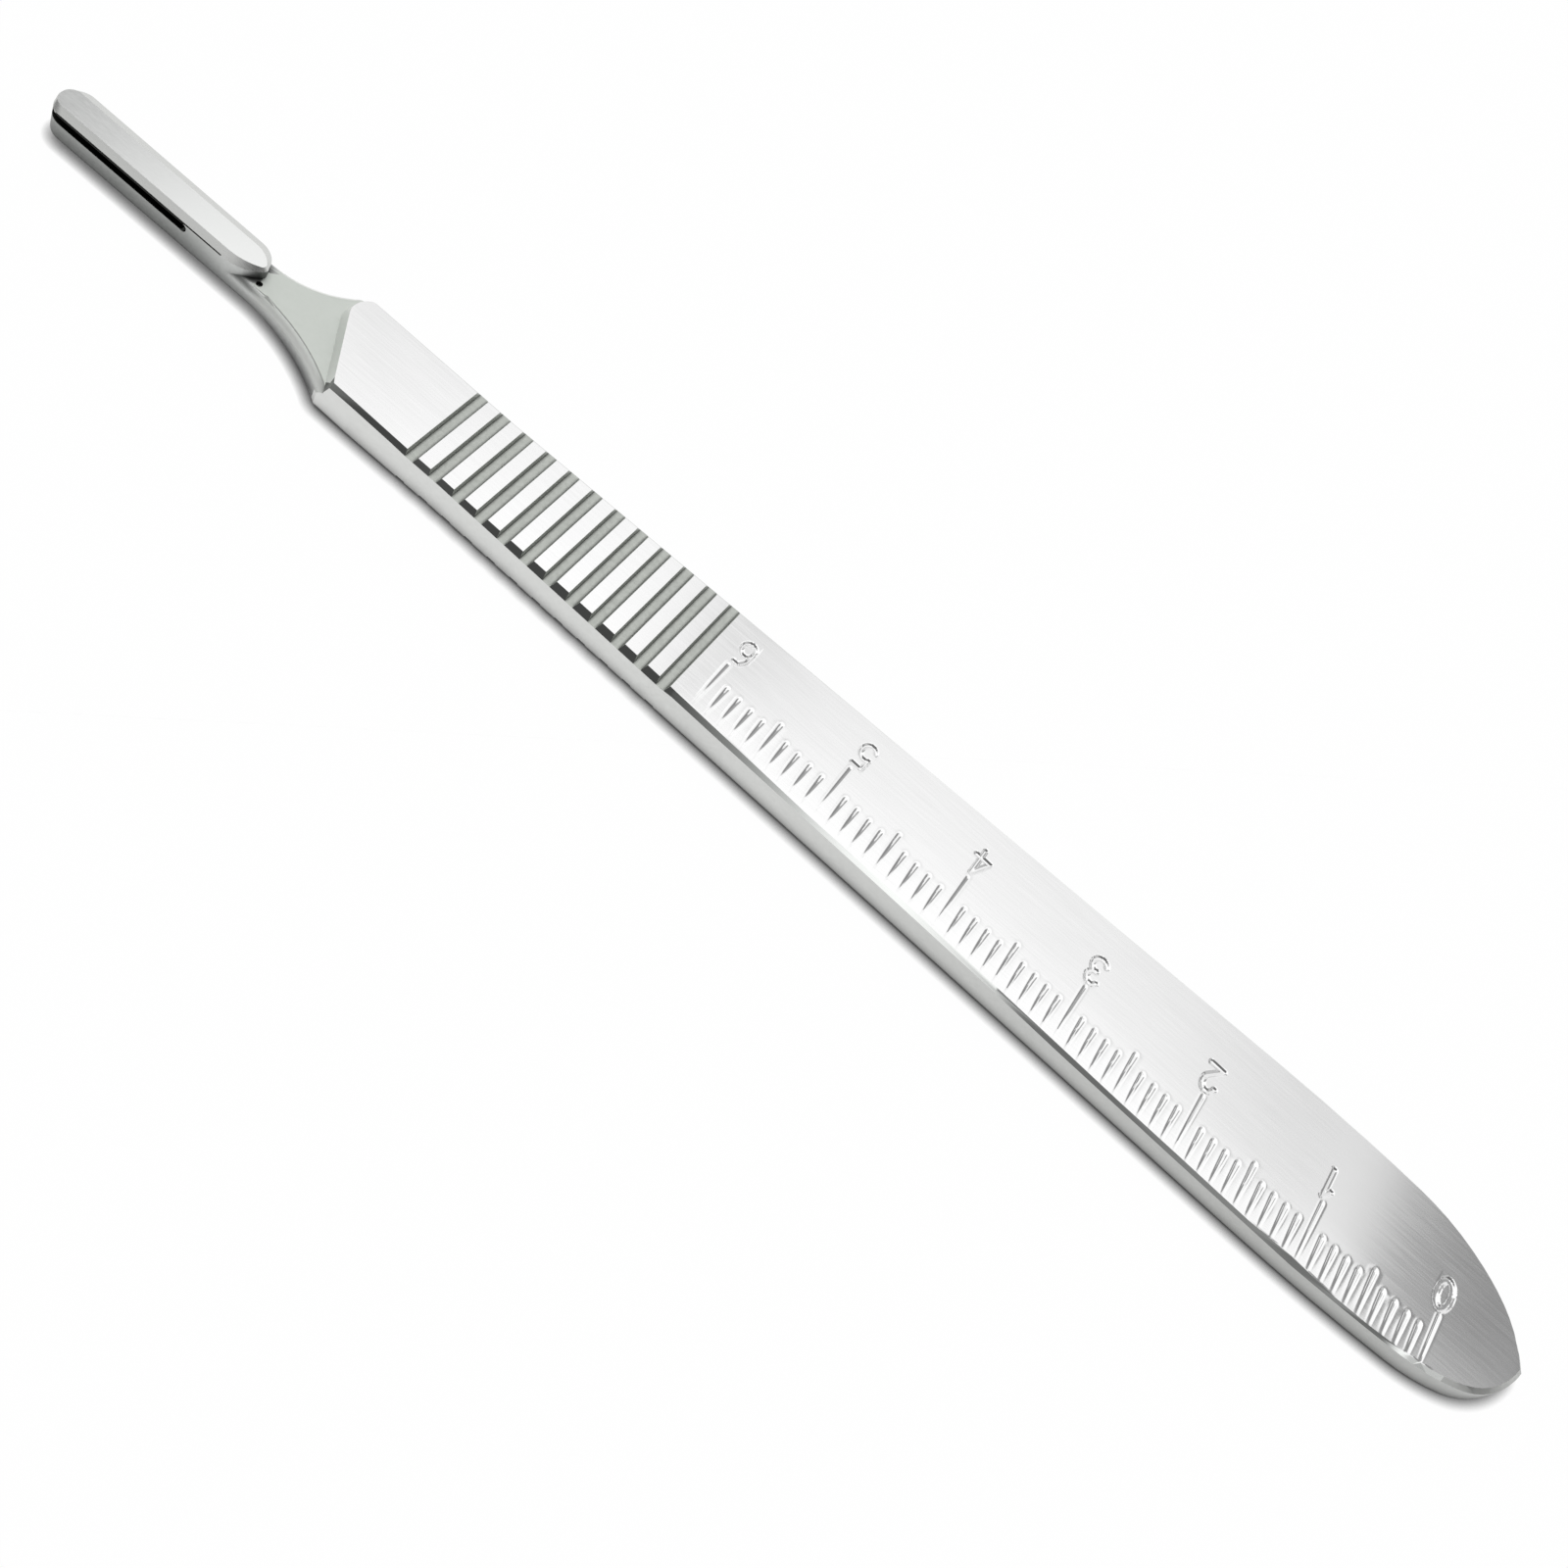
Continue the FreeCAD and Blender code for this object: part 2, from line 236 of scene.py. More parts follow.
# Inside of the blade slots and the near one's lip: painted black as the shade inside the slot and
# its reflection on the lip
SLOT_SHADE = SteelFinish("stainless_steel_slot_painted_shade", "2A2B29", "30312F", 0.55, 0.05,
                   0.5, 0.20, 0.002)
# Side of the tongue below the slots: blasted like the neck, and grainy; its dark colour, darkest
# towards the front, and its darkening towards the table are painted shade
TONGUE = SteelFinish("stainless_steel_blasted_tongue", "A8AAA8", "DEE0DE", 0.42, 0.08,
                     0.25, 0.22, 0.006, painted_shade=3.0, painted_shade_reach=2.5, painted_ramp_from=-50.0,
                     painted_ramp_to=-41.0)
# Wall of the shoulder, cut by a cutter of fine teeth: as light as the neck below it
CUT_WALL = SteelFinish("stainless_steel_cut_shoulder", "ECEEEB", "F0F2EF", 0.45, 0.05,
                       0.15, 0.40, 0.002)
# Rounded edge of the hollow: blasted and light, with painted shade that darkens it towards the
# table
BLASTED_EDGE = SteelFinish("stainless_steel_blasted_edge", "EAECE9", "F1F3F0", 0.70, 0.05,
                           0.20, 0.20, 0.005, painted_shade=4.0, painted_shade_reach=2.5)
# Painted shade: a narrow dark line along the first facets of the hollow's rounded near edge
CREASE = SteelFinish("stainless_steel_painted_shade_line", "989A97", "A2A4A1", 0.55, 0.05,
                     0.20, 0.20, 0.003)

FINISHES: dict[Surface, SteelFinish] = {
    Surface.FACE: GROUND,
    Surface.GROOVE: STAMPED,
    Surface.BEVEL: LINISHED,
    Surface.SIDE: BLANKED,
    Surface.NECK: BLASTED,
    Surface.FITTING_TOP: MILLED,
    Surface.FITTING_SIDE: MILLED_BEVEL,
    Surface.SLOT: SLOT_SHADE,
    Surface.TONGUE: TONGUE,
    Surface.SHOULDER: CUT_WALL,
    Surface.NECK_EDGE: BLASTED_EDGE,
    Surface.CREASE: CREASE,
}


@dataclass
class HandleSizes:
    """Sizes of the solid that the finer surfaces are fitted to."""

    length: float = 121.2
    grip_half: float = 3.85
    widest_half: float = 5.75
    taper_start: float = 34.2
    taper_length: float = 63.0
    shoulder_x: float = 23.1
    shoulder_height: float = 2.8
    tail_height: float = 1.75
    neck_top: float = 1.88
    fitting_half: float = 1.5
    fitting_top: float = 2.75
    fitting_rear: float = 16.85
    slot_top: float = 2.44
    slot_end: float = 11.6
    lip_edge: float = -1.42
    hollow_end: float = 24.0
    hollow_edge_end: float = 25.4
    shoulder_end: float = 24.6
    bevel_end: float = 116.5
    top_chamfer: float = 0.33
    grooves_start: float = 31.2
    grooves_end: float = 52.846
    groove_depth: float = 0.33

    def face_height(self, x: np.ndarray | float) -> np.ndarray | float:
        """Height of the sloping top face at x."""
        slope = (self.shoulder_height - self.tail_height) / (self.length - self.shoulder_x)
        return self.shoulder_height - slope * (x - self.shoulder_x)

    def taper_slope(self) -> float:
        """How much half the width grows along each millimetre of the taper."""
        return (self.widest_half - self.grip_half) / self.taper_length


def to_scene(points: np.ndarray, sizes: HandleSizes) -> np.ndarray:
    """Turn points in the source's millimetres into metres in the frame."""
    return (points - np.array([sizes.length / 2, 0.0, 0.0])) * MM


def to_source(points: np.ndarray, sizes: HandleSizes) -> np.ndarray:
    """Turn points in metres in the frame into the source's millimetres."""
    return points / MM + np.array([sizes.length / 2, 0.0, 0.0])


@dataclass
class Ruler:
    """The 61 stamped ticks, one each millimetre, from the zero near the tail."""

    zero_x: float = 114.5
    pitch: float = 1.0
    count: int = 61
    per_long: int = 10
    per_middle: int = 5
    short: float = 2.5
    middle: float = 3.3
    long: float = 4.5
    end: float = 3.95
    margin_at_zero: float = 0.42
    margin_at_end: float = 0.95
    width_at_zero: float = 0.48
    width_at_end: float = 0.32
    long_width_share: float = 0.68
    point_share_at_zero: float = 0.72
    point_share_at_end: float = 0.35
    depth: float = 0.052
    wall: float = 0.13
    rim: float = 0.008
    rim_top: float = 0.05
    rim_end: float = 0.2
    fade_outside: float = 0.42

    def inputs(self, sizes: HandleSizes) -> dict[str, float]:
        """Values for the tick tree's named inputs, in metres where they are lengths."""
        return {
            "Zero X": (self.zero_x - sizes.length / 2) * MM, "Pitch": self.pitch * MM,
            "Count": float(self.count), "Per Long": float(self.per_long),
            "Per Middle": float(self.per_middle), "Short": self.short * MM,
            "Middle": self.middle * MM, "Long": self.long * MM, "End": self.end * MM,
            "Margin At Zero": self.margin_at_zero * MM, "Margin At End": self.margin_at_end * MM,
            "Width At Zero": self.width_at_zero * MM, "Width At End": self.width_at_end * MM,
            "Long Width Share": self.long_width_share,
            "Point Share At Zero": self.point_share_at_zero,
            "Point Share At End": self.point_share_at_end, "Depth": self.depth * MM,
            "Wall": self.wall * MM, "Rim": self.rim * MM,
            "Taper X": (sizes.taper_start - sizes.length / 2) * MM,
            "Taper Slope": sizes.taper_slope(), "Narrow Half": sizes.grip_half * MM,
            "Wide Half": sizes.widest_half * MM,
        }

    def tree(self, sizes: HandleSizes) -> bpy.types.NodeTree:
        """Geometry Nodes that press the ticks into a fine face.

        Args:
            sizes: The handle that the ruler runs along.

        Returns:
            The node tree, with its sizes as named inputs.
        """
        tree = bpy.data.node_groups.new("stamped_ruler_ticks", "GeometryNodeTree")
        face = tree.interface
        face.new_socket("Geometry", in_out="INPUT", socket_type="NodeSocketGeometry")
        for name, value in self.inputs(sizes).items():
            socket = face.new_socket(name, in_out="INPUT", socket_type="NodeSocketFloat")
            socket.default_value = value
        face.new_socket("Steel", in_out="INPUT", socket_type="NodeSocketMaterial")
        face.new_socket("Geometry", in_out="OUTPUT", socket_type="NodeSocketGeometry")
        given = add_node(tree, "NodeGroupInput").outputs
        place = add_node(tree, "GeometryNodeInputPosition")
        axes = add_node(tree, "ShaderNodeSeparateXYZ", {0: place.outputs[0]}).outputs
        free = add_node(tree, "GeometryNodeInputNamedAttribute", {"Name": "free"},
                        data_type="FLOAT").outputs["Attribute"]
        values: dict[str, object] = {name: given[name] for name in self.inputs(sizes)}
        values.update(x=axes["X"], y=axes["Y"], free=free)
        wire(tree, values, (
            # Which tick is nearest, and how far along the ruler it is
            ("back", "SUBTRACT", "Zero X", "x"),
            ("steps", "DIVIDE", "back", "Pitch"),
            ("whole", "ROUND", "steps"),
            ("last", "SUBTRACT", "Count", 1.0),
            ("capped", "MINIMUM", "whole", "last"),
            ("index", "MAXIMUM", "capped", 0.0),
            ("share", "DIVIDE", "index", "last"),
            ("stride", "MULTIPLY", "index", "Pitch"),
            ("tick_x", "SUBTRACT", "Zero X", "stride"),
            ("beside", "SUBTRACT", "x", "tick_x"),
            # The tick's width, the plain strip outside it, and its length
            ("width", "LINEAR", "share", 0.0, 1.0, "Width At Zero", "Width At End"),
            ("margin", "LINEAR", "share", 0.0, 1.0, "Margin At Zero", "Margin At End"),
            ("narrow", "MULTIPLY", "width", "Long Width Share"),
            ("rest", "MODULO", "index", "Per Middle"),
            ("is_middle", "LESS_THAN", "rest", 0.5),
            ("length", "SWITCH", "is_middle", "Short", "Middle"),
            ("rest", "MODULO", "index", "Per Long"),
            ("is_long", "LESS_THAN", "rest", 0.5),
            ("length", "SWITCH", "is_long", "length", "Long"),
            ("width", "SWITCH", "is_long", "width", "narrow"),
            ("is_first", "COMPARE", "index", 0.0, 0.5),
            ("length", "SWITCH", "is_first", "length", "End"),
            ("is_last", "COMPARE", "index", "last", 0.5),
            ("length", "SWITCH", "is_last", "length", "End"),
            # Where along the tick the point is, from its outer end
            ("run", "SUBTRACT", "tick_x", "Taper X"),
            ("grown", "MULTIPLY_ADD", "run", "Taper Slope", "Narrow Half"),
            ("edge", "MINIMUM", "grown", "Wide Half"),
            ("inboard", "ADD", "y", "edge"),
            ("along", "SUBTRACT", "inboard", "margin"),
            # Distance outside the drop shape: narrow at the outer end, round at the inner end
            ("half", "MULTIPLY", "width", 0.5),
            ("centre", "SUBTRACT", "length", "half"),
            ("point_share", "LINEAR", "share", 0.0, 1.0, "Point Share At Zero",
             "Point Share At End"),
            ("point_half", "MULTIPLY", "point_share", "half"),
            ("local_half", "LINEAR", "along", 0.0, "centre", "point_half", "half"),
            ("beyond", "SUBTRACT", "along", "centre"),
            ("past", "MAXIMUM", "beyond", 0.0),
            ("square", "MULTIPLY", "past", "past"),
            ("both", "MULTIPLY_ADD", "beside", "beside", "square"),
            ("radius", "SQRT", "both"),
            ("outside", "SUBTRACT", "radius", "local_half"),
            # A flat-bottomed trough that fades out towards the edge of the handle, and its rim
            ("inside", "SUBTRACT", 0.0, "Wall"),
            ("trough", "SMOOTHSTEP", "outside", "inside", 0.0, 1.0, 0.0),
            ("deep", "MULTIPLY", "centre", 0.5),
            ("fade", "LINEAR", "along", -self.fade_outside * MM, "deep", 0.0, 1.0),
            ("pressed", "MULTIPLY", "trough", "fade"),
            ("sunk", "MULTIPLY", "pressed", "Depth"),
            ("rise", "SMOOTHSTEP", "outside", 0.0, self.rim_top * MM, 0.0, 1.0),
            ("fall", "SMOOTHSTEP", "outside", self.rim_top * MM, self.rim_end * MM, 1.0, 0.0),
            ("crest", "MULTIPLY", "rise", "fall"),
            ("faded", "MULTIPLY", "crest", "fade"),
            ("raised", "MULTIPLY", "faded", "Rim"),
            ("lift", "SUBTRACT", "raised", "sunk"),
            ("held", "MULTIPLY", "lift", "free")))
        offset = add_node(tree, "ShaderNodeCombineXYZ", {"Z": values["held"]}).outputs[0]
        moved = add_node(tree, "GeometryNodeSetPosition", {
            "Geometry": given["Geometry"], "Offset": offset})
        real = add_node(tree, "GeometryNodeRealizeInstances", {
            "Geometry": moved.outputs["Geometry"]})
        dressed = add_node(tree, "GeometryNodeSetMaterial", {
            "Geometry": real.outputs["Geometry"], "Material": given["Steel"]})
        add_node(tree, "NodeGroupOutput", {"Geometry": dressed.outputs["Geometry"]})
        return tree

    def press(self, face: bpy.types.Object, sizes: HandleSizes,
              steel: bpy.types.Material) -> bpy.types.Mesh:
        """Press the ticks into the fine face and give back the plain mesh.

        Args:
            face: Object of the fine ruler face.
            sizes: The handle that the ruler runs along.
            steel: Material of the face.

        Returns:
            A mesh of its own with the ticks in it.
        """
        tree = self.tree(sizes)
        modifier = face.modifiers.new("ticks", "NODES")
        modifier.node_group = tree
        values: dict[str, object] = dict(self.inputs(sizes), Steel=steel)
        for item in tree.interface.items_tree:
            if item.in_out == "INPUT" and item.name in values:
                modifier[item.identifier] = values[item.name]
        seen = face.evaluated_get(bpy.context.evaluated_depsgraph_get())
        mesh = bpy.data.meshes.new_from_object(seen)
        face.modifiers.remove(modifier)
        mesh.attributes.remove(mesh.attributes["free"])
        return mesh


@dataclass
class Figures:
    """The stamped figures 0 to 6, upright when read from the far side."""

    height_at_zero: float = 2.2
    height_at_end: float = 2.05
    width_at_zero: float = 1.3
    width_at_end: float = 1.15
    stroke_at_zero: float = 0.56
    stroke_at_end: float = 0.36
    wall: float = 0.16
    depth: float = 0.1
    gap: float = 0.35
    shift_at_zero: float = -0.24
    shift_growth: float = 0.58

    def strokes(self, figure: int) -> list[np.ndarray]:
        """Centre lines of a figure's strokes in a box from 0,0 to 1,1, with y up.

        Args:
            figure: The number to draw, 0 to 6.

        Returns:
            One array of points for each stroke.
        """
        def arc(x: float, y: float, rx: float, ry: float, start: float, end: float) -> np.ndarray:
            """Part of an ellipse, from one angle in degrees to another."""
            turn = np.radians(np.linspace(start, end, 25))
            return np.stack([x + rx * np.cos(turn), y + ry * np.sin(turn)], 1)

        shapes = {
            0: [arc(0.5, 0.5, 0.42, 0.5, 0, 360)],
            1: [np.array([[0.24, 0.72], [0.56, 0.98], [0.56, 0.0]])],
            2: [np.concatenate([arc(0.5, 0.7, 0.4, 0.3, 165, -40), [[0.1, 0.03], [0.92, 0.03]]])],
            3: [arc(0.47, 0.76, 0.36, 0.25, 150, -90), arc(0.47, 0.27, 0.42, 0.27, 90, -155)],
            4: [np.array([[0.66, 0.0], [0.66, 1.0], [0.04, 0.3], [0.98, 0.3]])],
            5: [np.concatenate([[[0.86, 0.98], [0.24, 0.98], [0.18, 0.55]],
                                arc(0.46, 0.31, 0.42, 0.31, 125, -150)])],
            6: [np.concatenate([arc(0.62, 0.5, 0.52, 0.5, 75, 180),
                                arc(0.5, 0.29, 0.4, 0.29, 180, 540)])],
        }
        return shapes[figure]

    def press(self, points: np.ndarray, ruler: Ruler, sizes: HandleSizes) -> np.ndarray:
        """Sink the figures into the points of the fine face.

        Args:
            points: Points of the face in the source's millimetres.
            ruler: The ruler whose long ticks the figures stand beside.
            sizes: The handle.

        Returns:
            The points, moved down where the figures are.
        """
        moved = points.copy()
        for figure in range(ruler.count // ruler.per_long + 1):
            index = figure * ruler.per_long
            share = index / (ruler.count - 1)
            x = ruler.zero_x - index * ruler.pitch
            margin = ruler.margin_at_zero + share * (ruler.margin_at_end - ruler.margin_at_zero)
            half = min(sizes.grip_half + (x - sizes.taper_start) * sizes.taper_slope(),
                       sizes.widest_half)
            length = ruler.end if index in (0, ruler.count - 1) else ruler.long
            height = self.height_at_zero + share * (self.height_at_end - self.height_at_zero)
            width = self.width_at_zero + share * (self.width_at_end - self.width_at_zero)
            stroke_width = (self.stroke_at_zero
                            + share * (self.stroke_at_end - self.stroke_at_zero))
            top = margin - half + length + self.gap
            near = np.nonzero((np.abs(points[:, 0] - x) < width)
                              & (points[:, 1] > top - 1.0)
                              & (points[:, 1] < top + height + 1.0))[0]
            local = points[near, :2]
            distance = np.full(len(near), np.inf)
            shift = self.shift_at_zero + self.shift_growth * share
            for stroke in self.strokes(figure):
                line = np.stack([x + shift + (0.5 - stroke[:, 0]) * width,
                                 top + (1 - stroke[:, 1]) * height], 1)
                distance = np.minimum(distance, self.distance(local, line))
            inside = np.clip((stroke_width / 2 - distance) / self.wall, 0, 1)
            moved[near, 2] -= self.depth * inside ** 2 * (3 - 2 * inside)
        return moved

    @staticmethod
    def distance(points: np.ndarray, line: np.ndarray) -> np.ndarray:
        """Distance in the plan from each point to a line of straight pieces.

        Args:
            points: Points in the plan.
            line: Corners of the line, in order.

        Returns:
            One distance for each point.
        """
        best = np.full(len(points), np.inf)
        for start, end in zip(line[:-1], line[1:]):
            along = end - start
            share = np.clip((points - start) @ along / (along @ along), 0, 1)
            apart = points - start - share[:, None] * along
            best = np.minimum(best, np.linalg.norm(apart, axis=1))
        return best


@dataclass
class RulerFace:
    """A fine mesh of the ruler face, between the grooves and the tail."""

    tick_offsets: tuple[float, ...] = (0.0, 0.06, 0.1, 0.13, 0.16, 0.19, 0.22, 0.25, 0.31)
    figure_step: float = 0.06
    plain_step: float = 0.3
    figure_reach: float = 0.9
    narrowest: float = 8.25
    fine_until: float = 7.9
    crown: float = 0.045
    crown_width: float = 4.4
    crown_start: float = 53.5
    crown_full: float = 58.0

    def stations(self, ruler: Ruler, corners: np.ndarray, start: float, end: float) -> np.ndarray:
        """Places along the handle where the mesh has a row across.

        Args:
            ruler: The ruler on the face.
            corners: Places of the corners that the edge of the face has.
            start: Where the face begins.
            end: Where it comes to its point.

        Returns:
            The places, in order, no two nearly the same.
        """
        wanted = [np.arange(start, end, self.plain_step)]
        for index in range(ruler.count):
            x = ruler.zero_x - index * ruler.pitch
            offsets = np.array(self.tick_offsets)
            wanted.append(np.concatenate([x - offsets, x + offsets]))
            if index % ruler.per_long == 0:
                reach = self.figure_reach
                wanted.append(np.arange(x - reach, x + reach, self.figure_step))
        made = np.unique(np.round(np.concatenate(wanted), 4))
        fixed = np.array(sorted(corners))
        kept = list(fixed)
        last = -1.0
        for x in made:
            if start < x < end - 0.02 and np.abs(fixed - x).min() > 0.02 and x - last > 0.025:
                kept.append(x)
                last = x
        return np.array(sorted(kept))

    def columns(self, fine: bool) -> np.ndarray:
        """Distances from the near edge where a row has a point, as far as the figures go.

        Args:
            fine: Whether the row passes through a figure.

        Returns:
            The distances. Those of a plain row are all among those of a fine one.
        """
        ticks = np.concatenate([
            [0.0, 0.08, 0.16], np.arange(0.3, 1.0, 0.16), np.arange(1.1, 2.3, 0.25),
            np.arange(2.4, 5.4, 0.095)])
        apart = self.figure_step if fine else self.figure_step * 8
        return np.concatenate([ticks, np.arange(5.44, self.fine_until, apart)])

    def passes_figure(self, x: float, ruler: Ruler) -> bool:
        """Say whether a row at x goes through one of the figures."""
        step = ruler.per_long * ruler.pitch
        nearest = ruler.zero_x - round((ruler.zero_x - x) / step) * step
        return abs(nearest - x) < self.figure_reach and x > ruler.zero_x - ruler.count + 0.1

    def crown_at(self, x: float, inboard: np.ndarray) -> np.ndarray:
        """How far the face has been worn below its plane near the ruler edge.

        Args:
            x: Place along the handle.
            inboard: Distances from the near edge of the face.

        Returns:
            Depths in millimetres.
        """
        grown = np.clip((x - self.crown_start) / (self.crown_full - self.crown_start), 0, 1)
        near = np.clip(1 - inboard / self.crown_width, 0, 1)
        return self.crown * grown * near ** 2


@dataclass
class NearEdge:
    """The hand-broken edge on the ruler side: where it is wide and flat, or narrow and steep."""

    places: tuple[float, ...] = (24.2, 24.9, 27.0, 30.0, 31.2, 33.0, 38.0, 42.0, 46.0, 52.0, 53.3,
                                 57.0, 60.0, 64.0, 68.0, 72.0, 80.0, 85.0, 90.0, 95.0, 100.0,
                                 104.0, 108.0, 111.0, 114.0, 117.5, 119.0, 121.2)
    widths: tuple[float, ...] = (0.33, 0.40, 0.38, 0.32, 0.30, 0.30, 0.36, 0.43, 0.47, 0.43, 0.40,
                                 0.38, 0.36, 0.29, 0.33, 0.37, 0.33, 0.28, 0.22, 0.23, 0.21,
                                 0.18, 0.17, 0.20, 0.34, 0.38, 0.33, 0.33)
    drops: tuple[float, ...] = (0.33, 0.18, 0.18, 0.26, 0.33, 0.33, 0.33, 0.33, 0.33, 0.33, 0.20,
                                0.20, 0.18, 0.16, 0.15, 0.15, 0.16, 0.26, 0.28, 0.30, 0.28,
                                0.28, 0.24, 0.18, 0.12, 0.15, 0.33, 0.33)
    round_from: float = 97.0

    def cut(self, body: bmesh.types.BMesh, sizes: HandleSizes) -> None:
        """Cut the copy across at every place, so that the edge has corners to move there."""
        for x in self.places:
            if x < self.round_from and not self.in_grooves(x, sizes):
                parts = body.verts[:] + body.edges[:] + body.faces[:]
                plane = to_scene(np.array([x, 0.0, 0.0]), sizes)
                bmesh.ops.bisect_plane(body, geom=parts, dist=0.002 * MM, plane_co=plane,
                                       plane_no=(1, 0, 0))

    @staticmethod
    def in_grooves(x: float, sizes: HandleSizes) -> bool:
        """Say whether x is among the cross grooves."""
        return sizes.grooves_start - 0.1 < x < sizes.grooves_end + 0.1

    def shape(self, body: bmesh.types.BMesh, sizes: HandleSizes, face: RulerFace) -> int:
        """Move the corners of the CAD chamfer on the near side to the broken edge.

        Args:
            body: The merged copy of the solid.
            sizes: The handle.
            face: The ruler face, which is worn down beside this edge.

        Returns:
            How many corners of the upper edge were moved.
        """
        chamfer = sizes.top_chamfer
        moves = {}
        for vert in body.verts:
            at = to_source(np.array(vert.co), sizes)
            low = (sizes.face_height(at[0]) - at[2]) / chamfer
            if at[0] < self.places[0] or at[1] > 0 or not -0.04 < low < 1.04:
                continue
            width = np.interp(at[0], self.places, self.widths)
            drop = np.interp(at[0], self.places, self.drops)
            worn = float(face.crown_at(at[0], np.array(0.0)))
            edge_y = -min(sizes.grip_half + max(at[0] - sizes.taper_start, 0.0)
                          * sizes.taper_slope(), sizes.widest_half)
            if at[0] < self.round_from:
                # Along the straight part every point of the chamfer moves by how low it is
                on_chamfer = abs(at[1] - edge_y - (1 - low) * chamfer) < 0.03
                if on_chamfer and not (self.in_grooves(at[0], sizes) and low > 0.04):
                    fallen = (1 - low) * worn + low * drop
                    moves[vert] = np.array([at[0], at[1] + (1 - low) * (width - chamfer),
                                            sizes.face_height(at[0]) - fallen])
                continue
            feet = {}
            for link in vert.link_edges:
                foot = to_source(np.array(link.other_vert(vert).co), sizes)
                reach = np.hypot(*(foot - at)[:2])
                if abs(at[2] - foot[2] - chamfer) < 0.02 and reach < 1.5 * chamfer \
                        and foot[1] < at[1] - 0.03:
                    feet[reach] = (link.other_vert(vert), foot)
            if low > 0.04 or not feet:
                continue
            foot_vert, foot = feet[min(feet)]
            inner = foot + (at - foot) * (width / chamfer)
            inner[2] = sizes.face_height(inner[0]) - worn
            moves[vert] = inner
            moves[foot_vert] = np.array([*foot[:2], sizes.face_height(foot[0]) - drop])
        for vert, place in moves.items():
            vert.co = to_scene(place, sizes)
        return len(moves)


